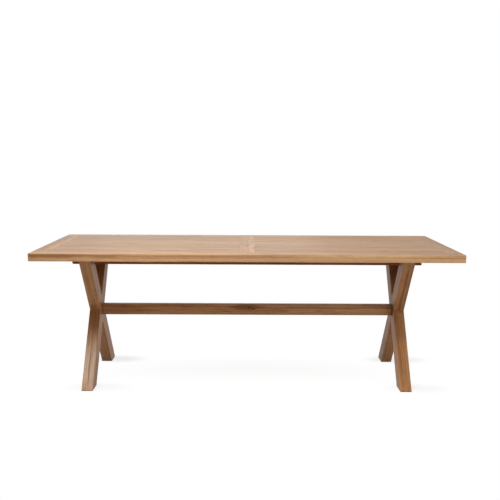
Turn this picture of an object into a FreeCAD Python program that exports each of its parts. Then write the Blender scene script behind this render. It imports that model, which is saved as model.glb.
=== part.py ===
"""Sawbuck dining table: a frame-and-board top on two crossed-leg frames.

The table stands on z = 0, with its origin on the floor under its middle. +X runs along the top, -Y is the
front and +Z is up. Each X-frame is two legs that lap where they cross, with its arms tenoned into a cleat
that lies in the recess under the boards. One stretcher is bolted between the crossings, and two bearers on
edge stiffen the top.
"""

import FreeCAD, Part
import Sketcher
import os

Vector = FreeCAD.Vector

# Driving dimensions in millimetres: alias, value, what it is.
SIZES = (
    # the whole table
    ("table_length", 2200, "length of the top"),
    ("table_width", 900, "width of the top"),
    ("table_height", 750, "floor to the top's surface"),
    # the top's frame
    ("frame_thick", 40, "thickness of stiles and end rails"),
    ("stile_width", 85, "width of the front and back stile"),
    ("end_rail_width", 80, "width of an end rail"),
    ("mid_rail_width", 85, "width of the middle rail"),
    ("edge_round", 3, "rounding of the top's outside edges"),
    # boards, tongues and grooves
    ("board_thick", 22, "thickness of the boards and the middle rail"),
    ("boards_across", 8, "boards side by side in each field"),
    ("board_arris", 0.8, "bevel beside each joint in the top's surface"),
    ("groove_height", 8, "height of a groove"),
    ("groove_depth", 10, "depth of a groove"),
    ("groove_spare", 1, "room between a tongue and the bottom of its groove"),
    ("joint_play", 0.1, "play on each face of a tongue or tenon"),
    ("rail_tenon_thick", 13, "thickness of an end rail's tenon"),
    ("rail_tenon_reach", 45, "length of an end rail's tenon"),
    ("rail_tenon_setback", 15, "shoulder outside an end rail's tenon"),
    ("mortise_spare", 1, "room at the bottom of a blind mortise or hole"),
    # cleats and battens, which fill the recess under the boards
    ("cleat_width", 100, "width of the cleat over an X-frame"),
    ("batten_width", 60, "width of the other battens"),
    ("batten_place", 430, "middle of the table to a side batten"),
    ("batten_gap", 1, "room for movement at each end of a batten"),
    # X-frames
    ("leg_width", 88, "width of a leg, across its grain"),
    ("leg_thick", 60, "thickness of a leg, along the table"),
    ("foot_spread", 700, "outside to outside of the feet, on the floor"),
    ("arm_spread", 615, "outside to outside of the arms, under the top"),
    ("frame_overhang", 218, "end of the top to an X-frame"),
    ("leg_arris", 2, "rounding of a leg's long edges"),
    ("arm_shoulder_side", 25.5, "shoulder at each side of an arm's tenon, across the table"),
    ("arm_shoulder_face", 18, "shoulder at each face of an arm's tenon, along the table"),
    # stretcher
    ("stretcher_height", 62, "height of the stretcher"),
    ("stretcher_thick", 30, "thickness of the stretcher"),
    ("stretcher_drop", 5.5, "middle of the stretcher below the crossing"),
    ("stretcher_arris", 1.5, "rounding of the stretcher's edges"),
    ("stub_shoulder_edge", 9, "shoulder above and below the stretcher's tenon"),
    ("stub_shoulder_face", 6, "shoulder at each face of the stretcher's tenon"),
    # bearers
    ("bearer_overhang", 65, "end of a bearer past the X-frame"),
    ("bearer_height", 56, "height of a bearer"),
    ("bearer_thick", 25, "thickness of a bearer"),
    ("bearer_gap", 2.5, "bearer to the arm beside it"),
    ("bearer_bevel", 4, "bevel of a bearer's lower end"),
    # bolts and barrel nuts of the stretcher
    ("bolt_dia", 8, "bolt"),
    ("bolt_length", 100, "bolt under its head"),
    ("bolt_past", 10, "end of the bolt past the barrel nut's middle"),
    ("bolt_head_dia", 16, "bolt head"),
    ("bolt_head_thick", 5, "thickness of the bolt head"),
    ("socket_across", 5, "hexagon socket across its flats"),
    ("socket_depth", 3, "depth of the hexagon socket"),
    ("bolt_play", 0.5, "bolt to its hole, all round"),
    ("washer_dia", 20, "washer"),
    ("washer_thick", 2, "thickness of the washer"),
    ("sink_play", 1, "washer to its counterbore, all round"),
    ("sink_depth", 12, "depth of the counterbore"),
    ("nut_dia", 12, "barrel nut"),
    ("nut_length", 20, "length of the barrel nut"),
    ("nut_play", 0.1, "barrel nut to its hole and to the bolt, all round"),
    # screws
    ("screw_dia", 4.5, "screw"),
    ("screw_head_dia", 9, "screw head"),
    ("screw_head_thick", 3, "thickness of the screw head"),
    ("screw_play", 0.1, "screw to its hole, all round"),
    ("board_cover", 8, "wood left between a screw's tip and the top's surface"),
    ("batten_cover", 2, "wood left between a bearer screw's tip and the boards"),
    ("bearer_sink", 30, "depth of a screw's counterbore in a bearer"),
    ("bearer_sink_play", 0.5, "screw head to that counterbore, all round"),
)

# Sizes that follow from the driving ones: name, property type, expression.
LAYOUT = (
    ("half_length", "Float", "Sizes.table_length / 2"),
    ("half_width", "Float", "Sizes.table_width / 2"),
    ("frame_under", "Float", "Sizes.table_height - Sizes.frame_thick"),
    ("board_under", "Float", "Sizes.table_height - Sizes.board_thick"),
    ("recess", "Float", "Sizes.frame_thick - Sizes.board_thick"),
    # tongues and grooves, halfway up the boards
    ("groove_top", "Float", "Sizes.table_height - (Sizes.board_thick - Sizes.groove_height) / 2"),
    ("groove_low", "Float", "groove_top - Sizes.groove_height"),
    ("tongue_top", "Float", "groove_top - Sizes.joint_play"),
    ("tongue_low", "Float", "groove_low + Sizes.joint_play"),
    ("tongue_reach", "Float", "Sizes.groove_depth - Sizes.groove_spare"),
    # the two fields that the boards fill
    ("field_half_width", "Float", "half_width - Sizes.stile_width"),
    ("field_end", "Float", "half_length - Sizes.end_rail_width"),
    ("mid_half", "Float", "Sizes.mid_rail_width / 2"),
    ("board_length", "Float", "field_end - mid_half"),
    ("board_middle", "Float", "(field_end + mid_half) / 2"),
    ("board_half", "Float", "field_half_width / Sizes.boards_across"),
    ("batten_length", "Float", "2 * (field_half_width - Sizes.batten_gap)"),
    # tenons of the end rails
    ("haunch_start", "Float", "field_end + Sizes.groove_depth"),
    ("rail_tenon_end", "Float", "half_length - Sizes.rail_tenon_setback"),
    ("rail_tenon_low", "Float", "tongue_top - Sizes.rail_tenon_thick"),
    # one X-frame: a leg of this width fits both spreads at just one lean
    ("frame_place", "Float", "half_length - Sizes.frame_overhang - Sizes.leg_thick / 2"),
    ("foot_out", "Float", "Sizes.foot_spread / 2"),
    ("arm_out", "Float", "Sizes.arm_spread / 2"),
    ("spread", "Float", "foot_out + arm_out"),
    ("diagonal", "Float", "sqrt(spread ^ 2 + frame_under ^ 2)"),
    ("lean", "Angle", "acos(Sizes.leg_width / diagonal) - atan(frame_under / spread)"),
    ("slope", "Float", "tan(lean)"),
    ("leg_across", "Float", "Sizes.leg_width / cos(lean)"),
    ("foot_in", "Float", "foot_out - leg_across"),
    ("arm_in", "Float", "arm_out - leg_across"),
    ("arm_middle", "Float", "(arm_out + arm_in) / 2"),
    ("crossing", "Float", "(foot_out + foot_in) / 2 / slope"),
    ("arm_tenon_width", "Float", "leg_across - 2 * Sizes.arm_shoulder_side"),
    ("arm_tenon_thick", "Float", "Sizes.leg_thick - 2 * Sizes.arm_shoulder_face"),
    # stretcher and its bolts
    ("stretcher_z", "Float", "crossing - Sizes.stretcher_drop"),
    ("shoulder", "Float", "frame_place - Sizes.leg_thick / 2"),
    ("stub_height", "Float", "Sizes.stretcher_height - 2 * Sizes.stub_shoulder_edge"),
    ("stub_thick", "Float", "Sizes.stretcher_thick - 2 * Sizes.stub_shoulder_face"),
    ("leg_face", "Float", "frame_place + Sizes.leg_thick / 2"),
    ("bolt_seat", "Float", "leg_face - Sizes.sink_depth + Sizes.washer_thick"),
    ("nut_place", "Float", "bolt_seat - Sizes.bolt_length + Sizes.bolt_past"),
    # bearers lie inside the arms, as far out as their lower edge lets them
    ("bearer_face", "Float", "arm_in - Sizes.bearer_height * slope - Sizes.bearer_gap"),
    ("bearer_y", "Float", "bearer_face - Sizes.bearer_thick / 2"),
    ("bearer_under", "Float", "frame_under - Sizes.bearer_height"),
    ("bearer_end", "Float", "leg_face + Sizes.bearer_overhang"),
    # screws: a batten's outer ones lie outside the arms, and a bearer's end ones beside the legs
    ("outer_screw_y", "Float", "(arm_out + batten_length / 2) / 2"),
    ("cleat_screw_x", "Float", "frame_place + (Sizes.leg_thick + Sizes.cleat_width) / 4"),
    ("screw_hole", "Float", "Sizes.screw_dia / 2 + Sizes.screw_play"),
    ("board_screw_length", "Float", "Sizes.frame_thick - Sizes.board_cover"),
    ("bearer_screw_seat", "Float", "bearer_under + Sizes.bearer_sink"),
    ("bearer_screw_length", "Float", "board_under - Sizes.batten_cover - bearer_screw_seat"),
)

PAST = "1"  # how far a cut starts or ends outside the stock
NEAR = 1e-6  # two coordinates closer than this are the same
SHANK_SIDES = 6  # screws, and the holes that they fill, have a few flats in place of a round
HEAD_SIDES = 12
SIDES = (("left", -1), ("right", 1))
UPRIGHT = FreeCAD.Rotation()
HALF_TURN = FreeCAD.Rotation(Vector(0, 0, 1), 180)
TOWARDS_RIGHT = FreeCAD.Rotation(Vector(0, 1, 0), 90)
TOWARDS_LEFT = FreeCAD.Rotation(Vector(0, 1, 0), -90)
INWARD = {-1: TOWARDS_RIGHT, 1: TOWARDS_LEFT}


# ------------------------------------------------------------------ the document


def write_sizes(doc):
    """Fills the sheet of driving dimensions, and works out the layout from it."""
    sheet = doc.addObject("Spreadsheet::Sheet", "Sizes")
    for row, (alias, value, meaning) in enumerate(SIZES, 1):
        sheet.set(f"A{row}", str(value))
        sheet.setAlias(f"A{row}", alias)
        sheet.set(f"B{row}", meaning)
    doc.recompute()
    layout = doc.addObject("App::VarSet", "Layout")
    for name, kind, expression in LAYOUT:
        layout.addProperty(f"App::Property{kind}", name)
        layout.setExpression(name, expression)
    doc.recompute()


def value_of(item, expression):
    """The number that an expression stands for."""
    return float(item.evalExpression(expression))


def place(item, x, y, z, rotation=UPRIGHT):
    """Turns an object, and binds its place to three expressions."""
    item.Placement = FreeCAD.Placement(Vector(), rotation)
    for axis, expression in (("x", x), ("y", y), ("z", z)):
        item.setExpression(f"Placement.Base.{axis}", expression)


# ------------------------------------------------------------------ sketches


def new_body(doc, name, x="0", y="0", z="0", rotation=UPRIGHT):
    """A body that carries the piece's name."""
    body = doc.addObject("PartDesign::Body", name)
    body.Label = name
    place(body, x, y, z, rotation)
    return body


def sketch_on(body, role, *outlines):
    """A sketch on one of the body's own origin planes, of closed runs of (x, y) expressions."""
    sketch = body.newObject("Sketcher::SketchObject", f"{body.Name}_sketch")
    plane = next(item for item in body.Origin.OriginFeatures if item.Role == role)
    sketch.AttachmentSupport = (plane, [""])
    sketch.MapMode = "FlatFace"
    for corners in outlines:
        draw(sketch, corners)
    return sketch


def draw(sketch, corners):
    """Draws one closed outline, and ties each corner to its two expressions."""
    points = [Vector(value_of(sketch, x), value_of(sketch, y), 0) for x, y in corners]
    first = sketch.GeometryCount
    count = len(points)
    for index, point in enumerate(points):
        sketch.addGeometry(Part.LineSegment(point, points[(index + 1) % count]), False)
    for index in range(count):
        following = first + (index + 1) % count
        joined = Sketcher.Constraint("Coincident", first + index, 2, following, 1)
        sketch.addConstraint(joined)
    for index, (point, (x, y)) in enumerate(zip(points, corners)):
        tie(sketch, "DistanceX", first + index, point.x, x)
        tie(sketch, "DistanceY", first + index, point.y, y)


def tie(sketch, kind, line, distance, expression):
    """Holds the start of a line at a distance from the origin that an expression gives."""
    held = Sketcher.Constraint(kind, -1, 1, line, 1, distance)
    index = sketch.addConstraint(held)
    sketch.setExpression(f"Constraints[{index}]", expression)


def rectangle(low_x, high_x, low_y, high_y):
    """The four corners between two places each way."""
    return ((low_x, low_y), (high_x, low_y), (high_x, high_y), (low_x, high_y))


def about(middle, width):
    """The two ends of a width that is centred on a place."""
    return f"{middle} - ({width}) / 2", f"{middle} + ({width}) / 2"


# ------------------------------------------------------------------ features


def pad(body, sketch, length, both_ways=True):
    """Extrudes a sketch, half to each side of its plane or all along its normal."""
    feature = body.newObject("PartDesign::Pad", f"{body.Name}_pad")
    feature.Profile = sketch
    feature.Midplane = both_ways
    feature.setExpression("Length", length)
    return feature


def cut(body, sketch, along_normal=False, both_ways=False):
    """Cuts a sketch through all that lies behind its plane, before it or on both sides."""
    feature = body.newObject("PartDesign::Pocket", f"{body.Name}_cut")
    feature.Profile = sketch
    feature.Type = "ThroughAll"
    feature.Midplane = both_ways
    feature.Reversed = along_normal


def bore(body, radius, length, spot, rotation=UPRIGHT):
    """A round hole from a spot upwards, or along the rotation given."""
    hole = body.newObject("PartDesign::SubtractiveCylinder", f"{body.Name}_bore")
    hole.setExpression("Radius", radius)
    hole.setExpression("Height", length)
    place(hole, *spot, rotation)


def flat_sided_hole(body, sides, radius, length, spot):
    """The hole of a screw's shank or head, from a spot upwards."""
    hole = body.newObject("PartDesign::SubtractivePrism", f"{body.Name}_screw_hole")
    hole.Polygon = sides
    hole.setExpression("Circumradius", radius)
    hole.setExpression("Height", length)
    place(hole, *spot)


def round_edges(doc, body, feature, radius, wanted):
    """Rounds those edges of a feature whose bounding boxes pass a test."""
    doc.recompute()
    edges = enumerate(feature.Shape.Edges, 1)
    names = [f"Edge{number}" for number, edge in edges if wanted(edge.BoundBox)]
    rounding = body.newObject("PartDesign::Fillet", f"{body.Name}_rounding")
    rounding.Base = (feature, names)
    rounding.setExpression("Radius", radius)


def is_at(number, *levels):
    """Whether a coordinate is one of some levels."""
    return any(abs(number - level) < NEAR for level in levels)


# ------------------------------------------------------------------ the top


def bevelled_edge(edge, inwards):
    """Corners at the top of an edge: the end of the surface and the foot of the arris."""
    return (
        (f"{edge} {inwards} Sizes.board_arris", "Sizes.table_height"),
        (edge, "Sizes.table_height - Sizes.board_arris"),
    )


def grooved_edge(edge, inwards):
    """Corners down a grooved edge: its arris, then its groove."""
    bottom = f"{edge} {inwards} Sizes.groove_depth"
    return bevelled_edge(edge, inwards) + (
        (edge, "Layout.groove_top"),
        (bottom, "Layout.groove_top"),
        (bottom, "Layout.groove_low"),
        (edge, "Layout.groove_low"),
    )


def section(low_edge, high_edge, low, high, underside):
    """A closed section: down its first edge, across its underside and up its other edge."""
    return low_edge + ((low, underside), (high, underside)) + tuple(reversed(high_edge))


def stile(doc, name, rotation):
    """A stile, rounded outside and grooved inside, with a mortise for each end rail."""
    body = new_body(doc, name, rotation=rotation)
    outer, inner = "-Layout.half_width", "-Layout.field_half_width"
    square_edge = ((outer, "Sizes.table_height"),)
    outline = section(square_edge, grooved_edge(inner, "-"), outer, inner, "Layout.frame_under")
    blank = pad(body, sketch_on(body, "YZ_Plane", outline), "Sizes.table_length")
    front = value_of(body, outer)
    end = value_of(body, "Layout.half_length")
    levels = (value_of(body, "Layout.frame_under"), value_of(body, "Sizes.table_height"))

    def outside(box):
        at_end = is_at(box.XMin, -end) and is_at(box.XMax, -end) or is_at(box.XMin, end)
        at_front = is_at(box.YMin, front) and is_at(box.YMax, front)
        level = is_at(box.ZMin, *levels) and is_at(box.ZMax, *levels) and box.ZLength < NEAR
        return at_end and at_front or level and (at_end or at_front)

    round_edges(doc, body, blank, "Sizes.edge_round", outside)
    rail_mortise(body, "Layout.haunch_start - Sizes.joint_play")
    rail_mortise(body, "-Layout.rail_tenon_end - Sizes.joint_play")
    return body


def rail_mortise(body, start):
    """The mortise for an end rail's tenon, sunk from the groove; start is its lower X."""
    play = "2 * Sizes.joint_play"
    hollow = body.newObject("PartDesign::SubtractiveBox", f"{body.Name}_mortise")
    hollow.setExpression("Length", f"Layout.rail_tenon_end - Layout.haunch_start + {play}")
    hollow.setExpression("Width", "Sizes.rail_tenon_reach + Sizes.mortise_spare")
    hollow.setExpression("Height", f"Sizes.rail_tenon_thick + {play}")
    deep = "-Layout.field_half_width - Sizes.rail_tenon_reach - Sizes.mortise_spare"
    place(hollow, start, deep, "Layout.rail_tenon_low - Sizes.joint_play")


def end_rail(doc, name, rotation):
    """An end rail, grooved inside and rounded outside, with a haunched tenon at each end."""
    body = new_body(doc, name, rotation=rotation)
    inner, outer = "Layout.field_end", "Layout.half_length"
    square_edge = ((outer, "Sizes.table_height"),)
    outline = section(grooved_edge(inner, "+"), square_edge, inner, outer, "Layout.frame_under")
    blank = pad(body, sketch_on(body, "XZ_Plane", outline), "2 * Layout.field_half_width")
    end = value_of(body, outer)
    round_edges(
        doc,
        body,
        blank,
        "Sizes.edge_round",
        lambda box: is_at(box.XMin, end) and box.ZLength < NEAR,
    )
    haunch = rectangle("Layout.haunch_start", outer, "Layout.tongue_low", "Layout.tongue_top")
    haunch_sketch = sketch_on(body, "XZ_Plane", haunch)
    pad(body, haunch_sketch, "2 * (Layout.field_half_width + Layout.tongue_reach)")
    tenon = rectangle(
        "Layout.haunch_start", "Layout.rail_tenon_end", "Layout.rail_tenon_low", "Layout.tongue_top"
    )
    tenon_sketch = sketch_on(body, "XZ_Plane", tenon)
    pad(body, tenon_sketch, "2 * (Layout.field_half_width + Sizes.rail_tenon_reach)")
    return body


def mid_rail(doc):
    """The middle rail, grooved on both sides for the boards' ends and tongued into the stiles."""
    body = new_body(doc, "mid_rail")
    low, high = "-Layout.mid_half", "Layout.mid_half"
    edges = (grooved_edge(low, "+"), grooved_edge(high, "-"))
    outline = section(*edges, low, high, "Layout.board_under")
    pad(body, sketch_on(body, "XZ_Plane", outline), "2 * Layout.field_half_width")
    width = "2 * (Layout.mid_half - Sizes.groove_depth)"
    tongue = rectangle(*about("0", width), "Layout.tongue_low", "Layout.tongue_top")
    tongue_sketch = sketch_on(body, "XZ_Plane", tongue)
    pad(body, tongue_sketch, "2 * (Layout.field_half_width + Layout.tongue_reach)")
    for line in screw_lines(body):
        pilot(body, "0", line)
    return body


def board(doc, half, side, row, rows):
    """One board: a tongue on its front edge and at both ends, and a groove on its back edge.

    The last board of a field meets the back stile's groove, so it has a tongue there too."""
    name = f"{half}_board_{row}"
    body = new_body(doc, name, x=f"{side} * Layout.board_middle", y=row_place(row))
    last = row == rows
    front, back = "-Layout.board_half", "Layout.board_half"
    back_edge = bevelled_edge(back, "-") if last else grooved_edge(back, "-")
    outline = section(bevelled_edge(front, "+"), back_edge, front, back, "Layout.board_under")
    pad(body, sketch_on(body, "YZ_Plane", outline), "Layout.board_length")
    tongue_back = f"{back} + Layout.tongue_reach" if last else f"{back} - Sizes.groove_depth"
    tongue = rectangle(
        f"{front} - Layout.tongue_reach", tongue_back, "Layout.tongue_low", "Layout.tongue_top"
    )
    tongue_sketch = sketch_on(body, "YZ_Plane", tongue)
    pad(body, tongue_sketch, "Layout.board_length + 2 * Layout.tongue_reach")
    for line in screw_lines(body):
        offset = f"{line} - ({row_place(row)})"
        if abs(value_of(body, offset)) < value_of(body, back):
            for screw_x in ("Layout.frame_place", "Sizes.batten_place"):
                pilot(body, f"{side} * ({screw_x} - Layout.board_middle)", offset)
    return body


def row_place(row):
    """The middle of a row of boards, across the table."""
    return f"{2 * row - 1} * Layout.board_half - Layout.field_half_width"


def row_count(item):
    """How many boards lie side by side."""
    return round(value_of(item, "Sizes.boards_across"))


def screw_lines(item):
    """Where a batten is screwed up, across the table: outside the arms and in two middle rows."""
    outer, inner = "Layout.outer_screw_y", row_place(row_count(item) // 2)
    return (f"-{outer}", inner, f"-({inner})", outer)


def pilot(body, x, y):
    """The hole of a batten's screw in the underside of a board or of the middle rail."""
    length = "Layout.board_screw_length - Layout.recess + Sizes.mortise_spare"
    flat_sided_hole(body, SHANK_SIDES, "Layout.screw_hole", length, (x, y, "Layout.board_under"))


# ------------------------------------------------------------------ cleats, battens, bearers


def batten(doc, name, x, width, bearer_screw_x="0", takes_arms=False):
    """A flat batten across the boards, in the recess between the stiles.

    A cleat is a wide one that also takes the two arms' tenons right through."""
    body = new_body(doc, name, x=x)
    outline = rectangle(*about("0", width), *about("0", "Layout.batten_length"))
    sketch = sketch_on(body, "XY_Plane", outline)
    sketch.setExpression("AttachmentOffset.Base.z", "Layout.frame_under")
    pad(body, sketch, "Layout.recess", both_ways=False)
    if takes_arms:
        play = "2 * Sizes.joint_play"
        along = about("0", f"Layout.arm_tenon_thick + {play}")
        arms = (f"{side} * Layout.arm_middle" for _, side in SIDES)
        across = [about(arm, f"Layout.arm_tenon_width + {play}") for arm in arms]
        mortises = [rectangle(*along, *ends) for ends in across]
        cut(body, sketch_on(body, "XY_Plane", *mortises), both_ways=True)
    for line in screw_lines(body):
        spot = ("0", line, "Layout.frame_under")
        flat_sided_hole(body, SHANK_SIDES, "Layout.screw_hole", f"Layout.recess + {PAST}", spot)
    for _, side in SIDES:
        depth = "Layout.recess - Sizes.batten_cover + Sizes.screw_play"
        spot = (bearer_screw_x, f"{side} * Layout.bearer_y", "Layout.frame_under")
        flat_sided_hole(body, SHANK_SIDES, "Layout.screw_hole", depth, spot)
    return body


def bearer(doc, name, side):
    """A long rail on edge, bevelled at its lower ends and screwed up from deep holes."""
    body = new_body(doc, name, y=f"{side} * Layout.bearer_y")
    bevel_foot = "Layout.bearer_end - Sizes.bearer_bevel"
    bevel_top = "Layout.bearer_under + Sizes.bearer_bevel"
    outline = (
        ("-Layout.bearer_end", "Layout.frame_under"),
        ("-Layout.bearer_end", bevel_top),
        (f"-({bevel_foot})", "Layout.bearer_under"),
        (bevel_foot, "Layout.bearer_under"),
        ("Layout.bearer_end", bevel_top),
        ("Layout.bearer_end", "Layout.frame_under"),
    )
    pad(body, sketch_on(body, "XZ_Plane", outline), "Sizes.bearer_thick")
    sink_radius = "Sizes.screw_head_dia / 2 + Sizes.bearer_sink_play"
    for x in bearer_screw_places():
        mouth = (x, "0", f"Layout.bearer_under - {PAST}")
        flat_sided_hole(body, HEAD_SIDES, sink_radius, f"Sizes.bearer_sink + {PAST}", mouth)
        length = f"Sizes.bearer_height + {PAST}"
        flat_sided_hole(body, SHANK_SIDES, "Layout.screw_hole", length, (x, "0", "Layout.bearer_under"))
    return body


def bearer_screw_places():
    """Along the table, left to right: outside the legs, at the side battens and in the middle."""
    outer, inner = "Layout.cleat_screw_x", "Sizes.batten_place"
    return (f"-{outer}", f"-{inner}", "0", inner, outer)


# ------------------------------------------------------------------ X-frames and stretcher


def leg_outline(foot):
    """A leg seen along the table: its foot is at -Y or +Y, and its arm ends on the other side."""
    arm = -foot
    return (
        (f"{foot} * Layout.foot_out", "0"),
        (f"{foot} * Layout.foot_in", "0"),
        (f"{arm} * Layout.arm_out", "Layout.frame_under"),
        (f"{arm} * Layout.arm_in", "Layout.frame_under"),
    )


def leg(doc, half, side, foot_at):
    """One leg, named by its foot, in a frame whose +X points to the middle of the table.

    The two X-frames are alike and the right one is turned round. The leg whose foot is at its own -Y keeps
    its inner half where the legs cross, and takes the stretcher's tenon. The other takes the bolt."""
    inner = (foot_at == "front") == (half == "left")
    foot = -1 if inner else 1
    rotation = UPRIGHT if half == "left" else HALF_TURN
    body = new_body(doc, f"{half}_{foot_at}_leg", f"{side} * Layout.frame_place", rotation=rotation)
    stick = pad(body, sketch_on(body, "YZ_Plane", leg_outline(foot)), "Sizes.leg_thick")
    round_edges(doc, body, stick, "Sizes.leg_arris", lambda box: box.ZLength > NEAR)
    cut(body, sketch_on(body, "YZ_Plane", leg_outline(-foot)), along_normal=not inner)
    if inner:
        stub_mortise(body)
    else:
        bolt_holes(body)
    tenon = rectangle(
        *about(f"{-foot} * Layout.arm_middle", "Layout.arm_tenon_width"),
        "Layout.frame_under",
        "Layout.board_under - Sizes.joint_play",
    )
    pad(body, sketch_on(body, "YZ_Plane", tenon), "Layout.arm_tenon_thick")
    return body


def stub_mortise(body):
    """The hole through the inner half of the lap for the stretcher's tenon."""
    play = "2 * Sizes.joint_play"
    across = about("0", f"Layout.stub_thick + {play}")
    upright = about("Layout.stretcher_z", f"Layout.stub_height + {play}")
    cut(body, sketch_on(body, "YZ_Plane", rectangle(*across, *upright)), along_normal=True)


def bolt_holes(body):
    """The bolt's hole through the outer half of the lap, and the counterbore for its head."""
    face = ("-Sizes.leg_thick / 2", "0", "Layout.stretcher_z")
    hole_radius = "Sizes.bolt_dia / 2 + Sizes.bolt_play"
    sink_radius = "Sizes.washer_dia / 2 + Sizes.sink_play"
    bore(body, hole_radius, "Sizes.leg_thick", face, TOWARDS_RIGHT)
    bore(body, sink_radius, "Sizes.sink_depth", face, TOWARDS_RIGHT)


def stretcher(doc):
    """The stretcher, with a shouldered tenon, a bolt's hole and a barrel nut's hole at each end."""
    body = new_body(doc, "stretcher", z="Layout.stretcher_z")
    bar = rectangle(*about("0", "Sizes.stretcher_thick"), *about("0", "Sizes.stretcher_height"))
    stick = pad(body, sketch_on(body, "YZ_Plane", bar), "2 * Layout.shoulder")
    round_edges(doc, body, stick, "Sizes.stretcher_arris", lambda box: box.XLength > NEAR)
    stub = rectangle(*about("0", "Layout.stub_thick"), *about("0", "Layout.stub_height"))
    stub_sketch = sketch_on(body, "YZ_Plane", stub)
    pad(body, stub_sketch, "2 * (Layout.frame_place - Sizes.mortise_spare)")
    hole_radius = "Sizes.bolt_dia / 2 + Sizes.bolt_play"
    nut_radius = "Sizes.nut_dia / 2 + Sizes.nut_play"
    nut_depth = "(Sizes.stretcher_height + Sizes.nut_length) / 2"
    for _, side in SIDES:
        seat = (f"{side} * Layout.bolt_seat", "0", "0")
        bore(body, hole_radius, "Sizes.bolt_length + Sizes.mortise_spare", seat, INWARD[side])
        under_nut = (f"{side} * Layout.nut_place", "0", "-Sizes.stretcher_height / 2")
        bore(body, nut_radius, nut_depth, under_nut)
    return body


# ------------------------------------------------------------------ bolts, nuts and screws


def cylinder(doc, name, radius, height, spot, rotation=UPRIGHT):
    """A round bar from a spot upwards, or along the rotation given."""
    bar = doc.addObject("Part::Cylinder", name)
    bar.setExpression("Radius", radius)
    bar.setExpression("Height", height)
    place(bar, *spot, rotation)
    return bar


def boolean(doc, kind, name, base, tool):
    """A Part::Cut or Part::Fuse of two objects."""
    result = doc.addObject(f"Part::{kind}", name)
    result.Base = base
    result.Tool = tool
    return result


def pair(doc, name, make):
    """One fastener of a kind at each end of the stretcher, as one piece of two solids."""
    both = doc.addObject("Part::Compound", name)
    both.Label = name
    both.Links = [make(doc, f"{half}_{make.__name__}", side) for half, side in SIDES]
    return both


def bolt(doc, name, side):
    """A flat-headed bolt with a hexagon socket, pointing to the middle of the table."""
    outward = INWARD[-side]
    seat = (f"{side} * Layout.bolt_seat", "0", "Layout.stretcher_z")
    shank = cylinder(
        doc, f"{name}_shank", "Sizes.bolt_dia / 2", "Sizes.bolt_length", seat, INWARD[side]
    )
    head = cylinder(
        doc, f"{name}_head", "Sizes.bolt_head_dia / 2", "Sizes.bolt_head_thick", seat, outward
    )
    socket = doc.addObject("Part::Prism", f"{name}_socket")
    socket.Polygon = 6
    socket.setExpression("Circumradius", "Sizes.socket_across / sqrt(3)")
    socket.setExpression("Height", "Sizes.socket_depth")
    bottom = f"{side} * (Layout.bolt_seat + Sizes.bolt_head_thick - Sizes.socket_depth)"
    place(socket, bottom, "0", "Layout.stretcher_z", outward)
    blank = boolean(doc, "Fuse", f"{name}_blank", shank, head)
    return boolean(doc, "Cut", name, blank, socket)


def washer(doc, name, side):
    """The washer between a bolt's head and the bottom of its counterbore."""
    seat = (f"{side} * Layout.bolt_seat", "0", "Layout.stretcher_z")
    inward = INWARD[side]
    hole_radius = "Sizes.bolt_dia / 2 + Sizes.bolt_play"
    disc = cylinder(
        doc, f"{name}_disc", "Sizes.washer_dia / 2", "Sizes.washer_thick", seat, inward
    )
    eye = cylinder(doc, f"{name}_eye", hole_radius, "Sizes.washer_thick", seat, inward)
    return boolean(doc, "Cut", name, disc, eye)


def barrel_nut(doc, name, side):
    """The cross-drilled nut that stands upright in the stretcher."""
    low = "Layout.stretcher_z - Sizes.nut_length / 2"
    foot = (f"{side} * Layout.nut_place", "0", low)
    mouth = (f"{side} * (Layout.nut_place + Sizes.nut_dia)", "0", "Layout.stretcher_z")
    thread_radius = "Sizes.bolt_dia / 2 + Sizes.nut_play"
    barrel = cylinder(doc, f"{name}_barrel", "Sizes.nut_dia / 2", "Sizes.nut_length", foot)
    thread = cylinder(
        doc, f"{name}_thread", thread_radius, "2 * Sizes.nut_dia", mouth, INWARD[side]
    )
    return boolean(doc, "Cut", name, barrel, thread)


def flat_sided_bar(doc, name, sides, radius, height, spot):
    """A screw's shank or head, from a spot upwards."""
    bar = doc.addObject("Part::Prism", name)
    bar.Polygon = sides
    bar.setExpression("Circumradius", radius)
    bar.setExpression("Height", height)
    place(bar, *spot)
    return bar


def screws(doc, name, length, places):
    """Flat-bottomed screws, heads down, whose heads bear at these places."""
    members = []
    for number, (x, y, z) in enumerate(places, 1):
        one = f"{name}_{number}"
        under_head = (x, y, f"{z} - Sizes.screw_head_thick")
        shank = flat_sided_bar(
            doc, f"{one}_shank", SHANK_SIDES, "Sizes.screw_dia / 2", length, (x, y, z)
        )
        head = flat_sided_bar(
            doc,
            f"{one}_head",
            HEAD_SIDES,
            "Sizes.screw_head_dia / 2",
            "Sizes.screw_head_thick",
            under_head,
        )
        members.append(boolean(doc, "Fuse", one, shank, head))
    bundle = doc.addObject("Part::Compound", name)
    bundle.Label = name
    bundle.Links = members
    return bundle


# ------------------------------------------------------------------ assembly


def build_top(doc):
    """The frame of the top and its two fields of boards."""
    rows = row_count(doc.Layout)
    pieces = [
        stile(doc, "front_stile", UPRIGHT),
        stile(doc, "back_stile", HALF_TURN),
        end_rail(doc, "right_end_rail", UPRIGHT),
        end_rail(doc, "left_end_rail", HALF_TURN),
        mid_rail(doc),
    ]
    for half, side in SIDES:
        pieces += [board(doc, half, side, row, rows) for row in range(1, rows + 1)]
    return pieces


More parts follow.
